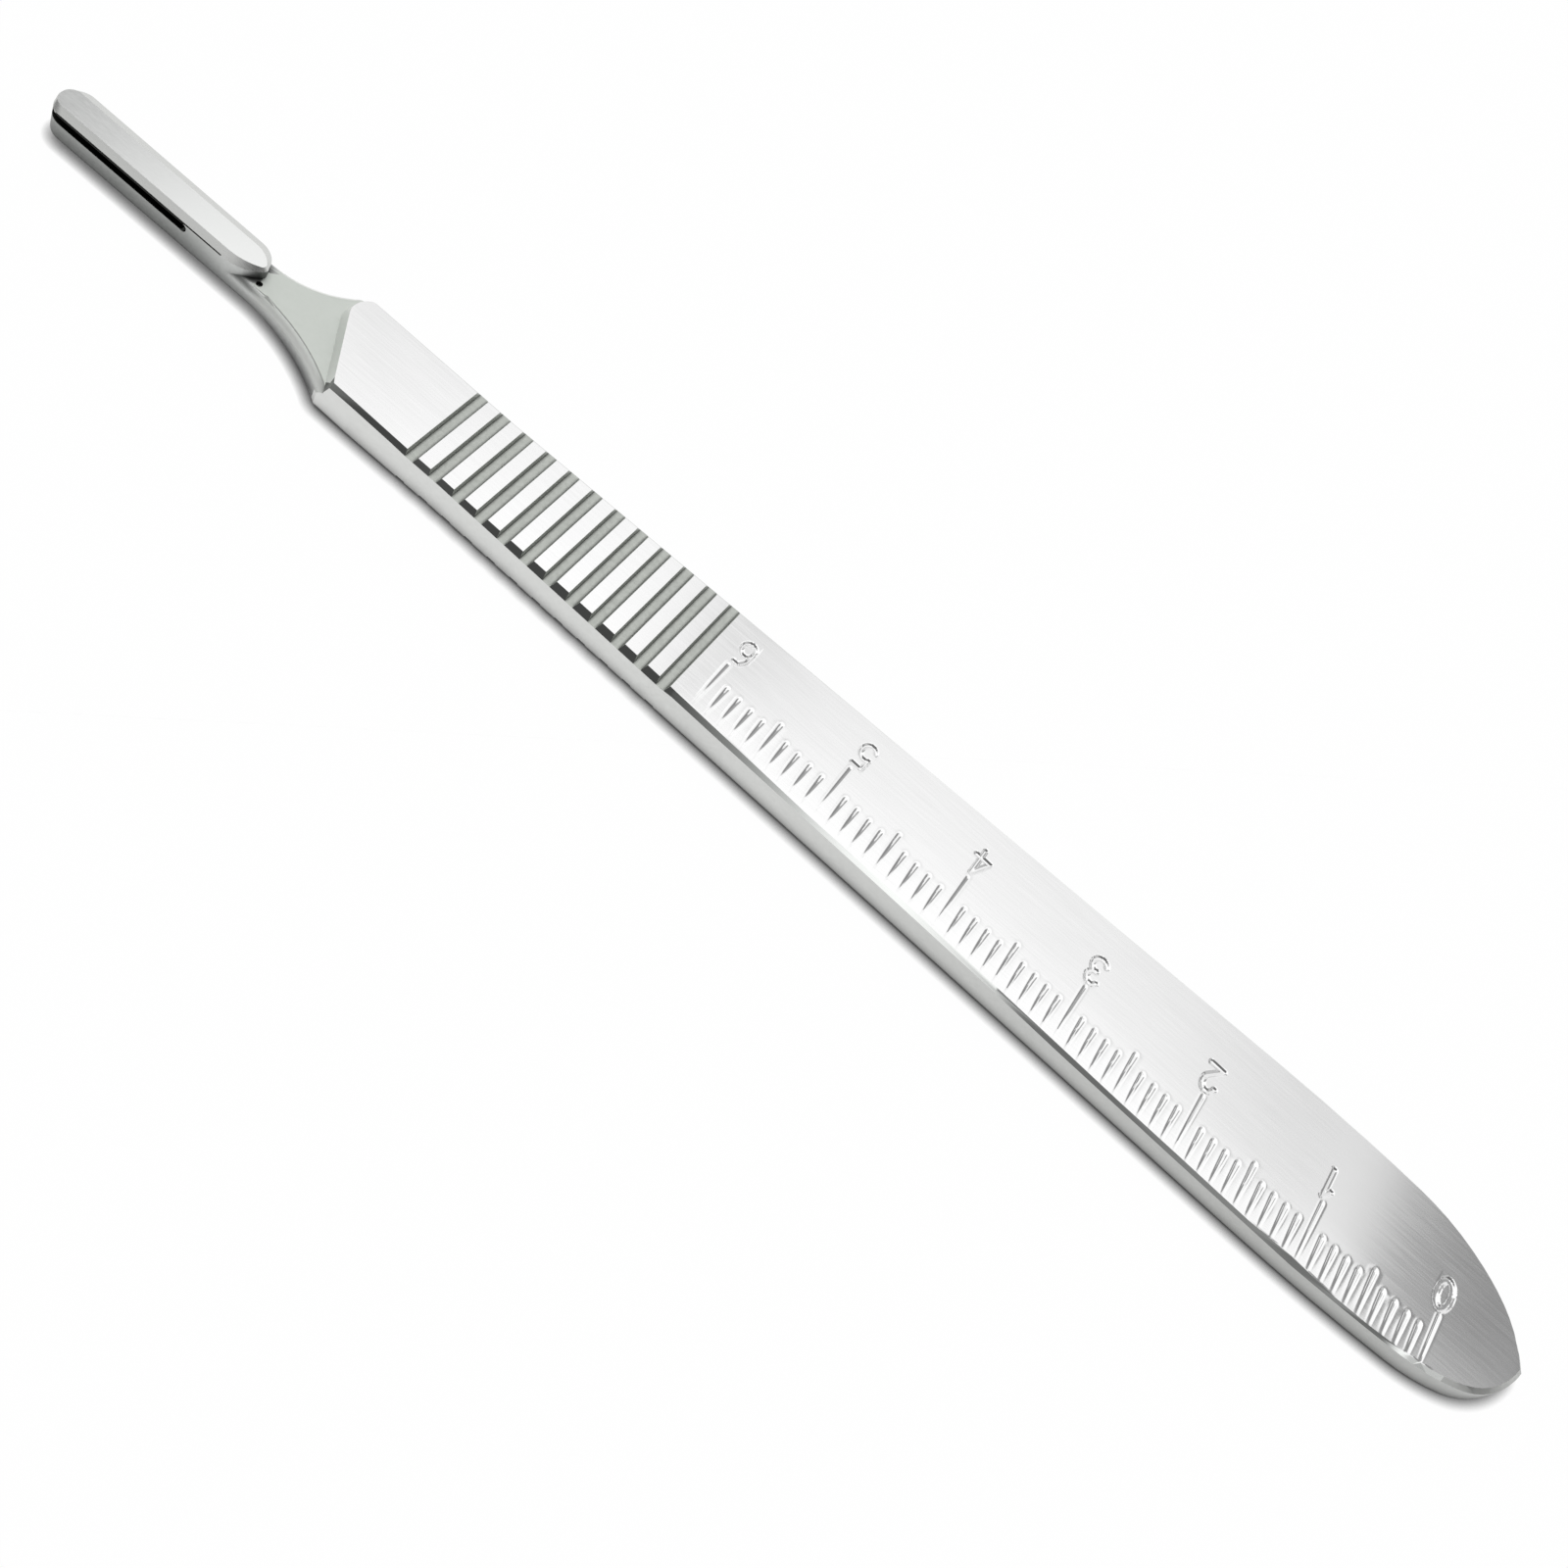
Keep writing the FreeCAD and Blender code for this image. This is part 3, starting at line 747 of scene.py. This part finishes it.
class ScalpelHandle:
    """The handle: the CAD form with a fine ruler face and all its finishes."""

    def __init__(self) -> None:
        """Keep the sizes of the handle, its ruler and its figures."""
        self.sizes = HandleSizes()
        self.crease = math.radians(20.0)
        self.coarse_mark = len(Surface)
        self.ruler = Ruler()
        self.figures = Figures()
        self.face = RulerFace()
        self.near_edge = NearEdge()
        self.materials = {surface: FINISHES[surface].build() for surface in Surface}

    def build(self) -> bpy.types.Object:
        """Make the whole piece and stand it in for the CAD node.

        Returns:
            The finished object.
        """
        body = self.merged_copy()
        self.near_edge.cut(body, self.sizes)
        self.cut_lip(body)
        self.sort_surfaces(body)
        moved = self.near_edge.shape(body, self.sizes, self.face)
        LOG.info("near edge: %d corners moved", moved)
        near, far, corner_places = self.open_ruler_face(body)
        rows = self.face.stations(self.ruler, corner_places, near[0, 0], near[-1, 0])
        self.split_rim(body, rows)
        fine = self.fine_face(near, far, rows)
        pressed = self.ruler.press(fine, self.sizes, self.materials[Surface.FACE])
        bpy.data.objects.remove(fine)
        body.from_mesh(pressed)
        bmesh.ops.remove_doubles(body, verts=body.verts, dist=0.0005 * MM)
        self.sharpen(body)
        mesh = bpy.data.meshes.new("scalpel_handle_dressed")
        body.to_mesh(mesh)
        open_edges = sum(1 for edge in body.edges if len(edge.link_faces) != 2)
        LOG.info("open edges %d, faces %d", open_edges, len(mesh.polygons))
        body.free()
        bpy.data.meshes.remove(pressed)
        piece = bpy.data.objects.new("scalpel_handle_dressed", mesh)
        bpy.context.scene.collection.objects.link(piece)
        self.dress(piece)
        return piece

    def merged_copy(self) -> bmesh.types.BMesh:
        """Copy the CAD node's mesh, join its loose triangles and mark the coarse ruler face."""
        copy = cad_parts[NODE].data.copy()
        # The copy's own corner normals would hide the sharp edges that are set later
        for name in [layer.name for layer in copy.attributes if layer.domain == "CORNER"
                     and not layer.is_internal]:
            copy.attributes.remove(copy.attributes[name])
        body = bmesh.new()
        body.from_mesh(copy)
        bpy.data.meshes.remove(copy)
        bmesh.ops.remove_doubles(body, verts=body.verts, dist=0.001 * MM)
        for face in body.faces:
            places = [to_source(np.array(vert.co), self.sizes) for vert in face.verts]
            if all(at[0] > self.sizes.grooves_end - 0.03
                   and at[2] > self.sizes.face_height(at[0]) - 0.2 for at in places):
                face.material_index = self.coarse_mark
        return body

    def cut_lip(self, body: bmesh.types.BMesh) -> None:
        """Cut the fitting's near bevel along the slot, as high as the slot's painted black shade
        reaches.
        """
        lip = [face for face in body.faces
               if (at := to_source(np.array(face.calc_center_median()), self.sizes))[1] < -0.8
               and at[0] < self.sizes.fitting_rear and at[2] > self.sizes.slot_top]
        parts = {part for face in lip for part in (*face.verts, *face.edges)}
        bmesh.ops.bisect_plane(body, geom=[*lip, *parts], dist=0.002 * MM,
                               plane_co=(0, self.sizes.lip_edge * MM, 0), plane_no=(0, 1, 0))

    def open_ruler_face(
            self, body: bmesh.types.BMesh) -> tuple[np.ndarray, np.ndarray, np.ndarray]:
        """Take the coarse ruler face out of the copy, and read the rim of the hole.

        Args:
            body: The merged copy.

        Returns:
            Corners of the near rim and of the far rim in the source's millimetres, both in
            order from the grooves to the tail, and the places of all of them along X.
        """
        sizes = self.sizes
        coarse = [face for face in body.faces if face.material_index == self.coarse_mark]
        bmesh.ops.delete(body, geom=coarse, context="FACES")
        rim = {vert for edge in body.edges if len(edge.link_faces) == 1 for vert in edge.verts}
        points = np.array(sorted(tuple(to_source(np.array(vert.co), sizes)) for vert in rim))
        tip = points[points[:, 0].argmax()]
        middle = tip[1]
        near = points[points[:, 1] < middle - 0.01]
        far = points[points[:, 1] > middle + 0.01]
        LOG.info("ruler face: %d rim corners, tip %.3f %.3f %.3f", len(points), *tip)
        near = np.vstack([near[near[:, 0].argsort()], tip])
        far = np.vstack([far[far[:, 0].argsort()], tip])
        return near, far, np.unique(np.round(points[:, 0], 6))

    def split_rim(self, body: bmesh.types.BMesh, rows: np.ndarray) -> None:
        """Cut the rim's edges where the fine face has its rows and columns.

        Args:
            body: The merged copy with its ruler face open.
            rows: Places of the rows along X.
        """
        for edge in [edge for edge in body.edges if len(edge.link_faces) == 1]:
            ends = sorted(edge.verts, key=lambda vert: vert.co.x)
            places = [to_source(np.array(vert.co), self.sizes) for vert in ends]
            if abs(places[1][1] - places[0][1]) > 5.0 and places[1][0] - places[0][0] < 0.01:
                self.split_edge(edge, ends[0], self.across(places[0], places[1]))
                continue
            inner = rows[(rows > places[0][0] + 0.0008) & (rows < places[1][0] - 0.0008)]
            shares = (inner - places[0][0]) / (places[1][0] - places[0][0])
            self.split_edge(edge, ends[0], shares)

    def across(self, one: np.ndarray, other: np.ndarray) -> np.ndarray:
        """Shares along the straight first row where the columns begin.

        Args:
            one: One end of the edge.
            other: The other end.

        Returns:
            Shares of the way from one to other, in order.
        """
        low, high = sorted((one[1], other[1]))
        columns = self.row_places(low, high, False)[1][1:-1]
        shares = (columns - one[1]) / (other[1] - one[1])
        return np.sort(shares)

    @staticmethod
    def split_edge(edge: bmesh.types.BMEdge, start: bmesh.types.BMVert,
                   shares: np.ndarray) -> None:
        """Cut one edge at shares of its length, counted from start."""
        done = 0.0
        for share in shares:
            fraction = (share - done) / (1 - done)
            vert = bmesh.utils.edge_split(edge, start, fraction)[1]
            edge = max(vert.link_edges,
                       key=lambda link: (link.other_vert(vert).co - start.co).length)
            start, done = vert, share

    def row_places(self, near_y: float, far_y: float, fine: bool) -> tuple[np.ndarray, np.ndarray]:
        """Places across one row of the fine face.

        Args:
            near_y: Where the row begins.
            far_y: Where it ends.
            fine: Whether the row passes through a figure.

        Returns:
            Distances from the near edge on the widest row, and places of the row's points.
        """
        width = far_y - near_y
        full = max(width, self.face.narrowest)
        rest = np.linspace(self.face.fine_until, full, 6)
        steps = np.concatenate([self.face.columns(fine), rest])
        return steps, near_y + steps * (width / full)

    def fine_face(self, near: np.ndarray, far: np.ndarray, rows: np.ndarray) -> bpy.types.Object:
        """Make the fine ruler face with its figures, ready for the ticks.

        Args:
            near: Corners of the near rim.
            far: Corners of the far rim.
            rows: Places of the rows along X.

        Returns:
            An object with the mesh, in the frame's metres.
        """
        sizes = self.sizes
        tip = near[-1]
        points: list[np.ndarray] = []
        row_starts: list[int] = []
        row_steps: list[np.ndarray] = []
        for x in rows[rows < tip[0] - 0.005]:
            near_y, near_z = (np.interp(x, near[:, 0], near[:, axis]) for axis in (1, 2))
            far_y, far_z = (np.interp(x, far[:, 0], far[:, axis]) for axis in (1, 2))
            steps, y = self.row_places(near_y, far_y, self.face.passes_figure(x, self.ruler))
            z = sizes.face_height(x) - self.face.crown_at(x, y - near_y)
            z[0], z[-1] = near_z, far_z
            row_starts.append(sum(len(row) for row in points))
            row_steps.append(steps)
            points.append(np.stack([np.full(len(y), x), y, z], 1))
        flat = self.figures.press(np.concatenate(points), self.ruler, sizes)
        flat = np.vstack([flat, tip])
        faces: list[tuple[int, ...]] = []
        for row in range(len(points) - 1):
            faces += self.strip(row_starts[row], row_steps[row], row_starts[row + 1],
                                row_steps[row + 1])
        last = row_starts[-1]
        faces += [(last + at, len(flat) - 1, last + at + 1) for at in range(len(points[-1]) - 1)]
        mesh = bpy.data.meshes.new("fine_ruler_face")
        mesh.from_pydata(to_scene(flat, sizes).tolist(), [], faces)
        # Points on the rim stay where the copy's own points are, however near a tick comes
        free = np.ones(len(flat))
        free[row_starts] = 0
        free[np.array(row_starts[1:] + [len(flat) - 1]) - 1] = 0
        free[:row_starts[1]] = 0
        free[last:] = 0
        mesh.attributes.new("free", "FLOAT", "POINT").data.foreach_set("value", free)
        face = bpy.data.objects.new("fine_ruler_face", mesh)
        bpy.context.scene.collection.objects.link(face)
        LOG.info("fine face: %d rows, %d points", len(points), len(flat))
        return face

    @staticmethod
    def strip(low: int, low_steps: np.ndarray, high: int,
              high_steps: np.ndarray) -> list[tuple[int, ...]]:
        """Faces between two rows, where one may have points that the other leaves out.

        Args:
            low: Number of the first point of the row nearer the grooves.
            low_steps: Its points' distances from the near edge.
            high: Number of the first point of the next row.
            high_steps: Its points' distances from the near edge.

        Returns:
            The faces, seen from above in the order that turns them up.
        """
        fewer = min(low_steps, high_steps, key=len)
        low_at = np.abs(low_steps[:, None] - fewer[None, :]).argmin(0)
        high_at = np.abs(high_steps[:, None] - fewer[None, :]).argmin(0)
        faces = []
        for at in range(len(fewer) - 1):
            there = range(high + high_at[at], high + high_at[at + 1] + 1)
            back = range(low + low_at[at + 1], low + low_at[at], -1)
            faces.append((int(low + low_at[at]), *map(int, there), *map(int, back)))
        return faces

    def sort_surfaces(self, body: bmesh.types.BMesh) -> None:
        """Give each face of the copy the slot of the surface that it belongs to."""
        for face in body.faces:
            if face.material_index != self.coarse_mark:
                middle = to_source(np.array(face.calc_center_median()), self.sizes)
                face.material_index = self.surface_at(middle, face.normal).value

    def sharpen(self, body: bmesh.types.BMesh) -> None:
        """Shade rounded surfaces smoothly, and keep edges and changes of finish sharp."""
        for face in body.faces:
            face.smooth = True
        for edge in body.edges:
            faces = edge.link_faces
            if len(faces) == 2:
                changes = faces[0].material_index != faces[1].material_index
                edge.smooth = not changes and edge.calc_face_angle(0.0) < self.crease

    def surface_at(self, at: np.ndarray, normal: Vector3) -> Surface:
        """Say which surface a face belongs to.

        Args:
            at: Middle of the face, in the source's millimetres.
            normal: Its direction.

        Returns:
            The surface.
        """
        sizes = self.sizes
        x, y, z = at
        up = normal[2]
        top = sizes.face_height(x)
        in_slot = x < sizes.slot_end + 0.02 and abs(y) < sizes.fitting_half - 0.01
        if in_slot and sizes.neck_top - 0.01 < z < sizes.slot_top + 0.01:
            return Surface.SLOT
        # The lip above the near slot is painted black with the slot, as shade
        on_lip = x < sizes.slot_end + 0.02 and y < sizes.lip_edge
        if on_lip and sizes.slot_top - 0.01 < z < sizes.fitting_top - 0.15:
            return Surface.SLOT
        if sizes.slot_end < x < sizes.fitting_rear and z < sizes.slot_top and up > -0.5:
            return Surface.TONGUE
        if x < sizes.fitting_rear + 0.05 and z > sizes.neck_top + 0.005 and abs(y) < 1.55:
            return Surface.FITTING_TOP if up > 0.95 else Surface.FITTING_SIDE
        in_hollow = x < sizes.hollow_end and up > -0.5 or x < sizes.hollow_edge_end and up > 0.15
        if in_hollow and z < sizes.neck_top + 0.02:
            rounded = up > 0.15 and (y > 0 or x > sizes.fitting_rear + 0.3)
            # The first facets of the near rounding, just below the flat, get a painted shade line
            if rounded and y < 0 and 0.96 < up < 0.99:
                return Surface.CREASE
            if up > 0.97:
                return Surface.NECK
            return Surface.NECK_EDGE if rounded else Surface.TONGUE
        if x < sizes.shoulder_end and z > sizes.neck_top and abs(up) < 0.5 and normal[0] < -0.1:
            return Surface.SHOULDER
        in_grooves = sizes.grooves_start - 0.05 < x < sizes.grooves_end + 0.05
        if in_grooves and abs(y) < sizes.grip_half + 0.7 and abs(normal[1]) < 0.3:
            if top - sizes.groove_depth - 0.02 < z < top - 0.02:
                return Surface.GROOVE
            if 0.02 < z < sizes.groove_depth + 0.02:
                return Surface.GROOVE
        if abs(up) > 0.95:
            return Surface.FACE
        if up > 0.3 and x < sizes.bevel_end:
            return Surface.BEVEL
        return Surface.SIDE

    def dress(self, piece: bpy.types.Object) -> None:
        """Give the piece its materials, hide the CAD node and place the piece in the frame.

        Args:
            piece: The finished object.
        """
        mesh = piece.data
        for surface in Surface:
            mesh.materials.append(self.materials[surface])
        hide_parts(NODE)
        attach(piece, BODY)


@dataclass
class Studio:
    """White floor, soft light from above and behind, and the camera."""

    floor_half: float = 1.5
    shadow_reach: float = 0.85
    shadow_depth: float = 2.1
    glow_share: float = 0.985
    brightest: float = 1.5
    ramp_reach: float = 0.65
    overhead: float = 1.30
    tail_share: float = 0.50
    low_behind: float = 1.15
    levels: tuple[tuple[float, float], ...] = (
        (-0.64, 0.56), (-0.60, 0.65), (-0.57, 0.885), (-0.53, 1.05), (-0.50, 1.235),
        (-0.46, 1.265), (-0.36, 1.18), (-0.32, 1.23), (-0.25, 1.33), (-0.15, 1.38),
        (-0.09, 1.34), (-0.07, 1.05), (-0.05, 1.02), (-0.01, 1.21), (0.04, 1.275), (0.14, 1.30),
        (0.20, 1.26), (0.29, 1.235), (0.36, 1.15), (0.41, 1.08), (0.43, 1.04), (0.45, 1.11),
        (0.468, 1.21), (0.489, 1.18), (0.509, 0.95), (0.529, 1.0), (0.549, 0.89), (0.569, 0.76),
        (0.64, 0.80))
    camera_at: Vector3 = (0.00079, -0.08125, 0.10174)
    camera_right: Vector3 = (0.75737, 0.51307, 0.40392)
    camera_up: Vector3 = (-0.65296, 0.59959, 0.46273)
    camera_back: Vector3 = (-0.00478, -0.61421, 0.78912)
    lens: float = 47.25
    sensor: float = 36.0

    def build(self) -> None:
        """Make the floor, the light and the camera."""
        self.floor()
        self.world()
        self.camera()

    def floor(self) -> None:
        """A wide white floor that keeps the soft shadow of the handle."""
        half = self.floor_half
        mesh = bpy.data.meshes.new("studio_floor")
        mesh.from_pydata([(-half, -half, 0), (half, -half, 0), (half, half, 0), (-half, half, 0)],
                         [], [(0, 1, 2, 3)])
        floor = bpy.data.objects.new("studio_floor", mesh)
        bpy.context.scene.collection.objects.link(floor)
        material = bpy.data.materials.new("white_paper_sweep")
        material.use_nodes = True
        tree = material.node_tree
        tree.nodes.clear()
        path = add_node(tree, "ShaderNodeLightPath").outputs
        # The paper near the handle gets less light, within about a millimetre of it
        near = add_node(tree, "ShaderNodeAmbientOcclusion", {"Distance": self.shadow_reach * MM},
                        samples=8)
        values: dict[str, object] = {
            "camera": path["Is Camera Ray"], "glossy": path["Is Glossy Ray"],
            "transmitted": path["Is Transmission Ray"], "near": near.outputs["AO"]}
        wire(tree, values, (
            ("seen", "MAXIMUM", "camera", "glossy"),
            ("seen", "MAXIMUM", "seen", "transmitted"),
            ("share", "MULTIPLY", "seen", self.glow_share),
            ("shade", "POWER", "near", self.shadow_depth)))
        paper = add_node(tree, "ShaderNodeBsdfDiffuse", {"Color": linear("FCFCFC")})
        glow = add_node(tree, "ShaderNodeEmission", {
            "Color": (1, 1, 1, 1), "Strength": values["shade"]})
        both = add_node(tree, "ShaderNodeMixShader", {
            0: values["share"], 1: paper.outputs[0], 2: glow.outputs[0]})
        add_node(tree, "ShaderNodeOutputMaterial", {"Surface": both.outputs[0]})
        mesh.materials.append(material)

    def world(self) -> None:
        """A light tent: bright overhead and behind, falling off to the tail and the front."""
        world = bpy.data.worlds.new("light_tent")
        bpy.context.scene.world = world
        world.use_nodes = True
        tree = world.node_tree
        tree.nodes.clear()
        place = add_node(tree, "ShaderNodeTexCoord")
        axes = add_node(tree, "ShaderNodeSeparateXYZ", {0: place.outputs["Generated"]}).outputs
        values: dict[str, object] = {"x": axes["X"], "y": axes["Y"], "z": axes["Z"]}
        # Along the handle the tent is darker at both ends, read at x over z on a ramp
        reach = self.ramp_reach
        wire(tree, values, (
            ("up", "MAXIMUM", "z", 0.02),
            ("along", "DIVIDE", "x", "up"),
            ("behind", "DIVIDE", "y", "up"),
            ("reach", "LINEAR", "along", -reach, reach, 0.0, 1.0)))
        ramp = add_node(tree, "ShaderNodeValToRGB", {"Fac": values["reach"]})
        elements = ramp.color_ramp.elements
        while len(elements) < len(self.levels):
            elements.new(0.5)
        for element, (place_along, strength) in zip(elements, self.levels):
            element.position = (place_along + reach) / (2 * reach)
            grey = strength / self.brightest
            element.color = (grey, grey, grey, 1.0)
        path = add_node(tree, "ShaderNodeLightPath").outputs
        values.update(ramp=ramp.outputs["Color"], camera=path["Is Camera Ray"])
        wire(tree, values, (
            ("tent", "MULTIPLY", "ramp", self.brightest),
            # The dimmer far part does not reach as far forward as the sheet overhead
            ("forward", "SMOOTHSTEP", "behind", 0.66, 0.79, 1.0, 0.0),
            ("sheet", "MAXIMUM", "tent", self.overhead),
            ("roof", "MIX", "forward", "tent", "sheet"),
            ("tail_end", "SMOOTHSTEP", "along", 0.488, 0.512, 1.0, self.tail_share),
            ("lit", "MULTIPLY", "roof", "tail_end"),
            ("height", "LINEAR", "behind", 0.72, 0.88, 1.10, 0.91),
            ("bright", "MULTIPLY", "lit", "height"),
            # Low behind the handle the tent is bright from end to end
            ("low", "LINEAR", "behind", 1.6, 2.6, 0.0, 1.0),
            ("bright", "MIX", "low", "bright", self.low_behind),
            # In front the room is dark, and less so down towards the table
            ("front_side", "SMOOTHSTEP", "behind", -0.38, 0.12, 0.0, 1.0),
            ("table", "LINEAR", "behind", -3.0, -1.3, 0.60, 0.20),
            ("level", "LINEAR", "front_side", 0.0, 1.0, "table", "bright"),
            ("shown", "MIX", "camera", "level", 1.0)))
        back = add_node(tree, "ShaderNodeBackground", {
            "Color": (1, 1, 1, 1), "Strength": values["shown"]})
        add_node(tree, "ShaderNodeOutputWorld", {"Surface": back.outputs[0]})

    def camera(self) -> None:
        """The camera, above the middle of the handle on its near side."""
        data = bpy.data.cameras.new("camera")
        data.lens = self.lens
        data.sensor_width = self.sensor
        data.clip_start = 0.005
        data.clip_end = 20.0
        camera = bpy.data.objects.new("camera", data)
        turned = Matrix((self.camera_right, self.camera_up, self.camera_back)).transposed()
        camera.matrix_world = Matrix.Translation(self.camera_at) @ turned.to_4x4()
        bpy.context.scene.collection.objects.link(camera)
        bpy.context.scene.camera = camera


def main() -> None:
    """Build every piece in order."""
    logging.basicConfig(level=logging.INFO, format="%(message)s")
    bpy.context.scene.view_settings.view_transform = "Standard"
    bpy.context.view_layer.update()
    piece = ScalpelHandle().build()
    LOG.info("piece %s: %d triangles", piece.name,
             sum(len(face.vertices) - 2 for face in piece.data.polygons))
    Studio().build()


if __name__ == "__main__":
    main()
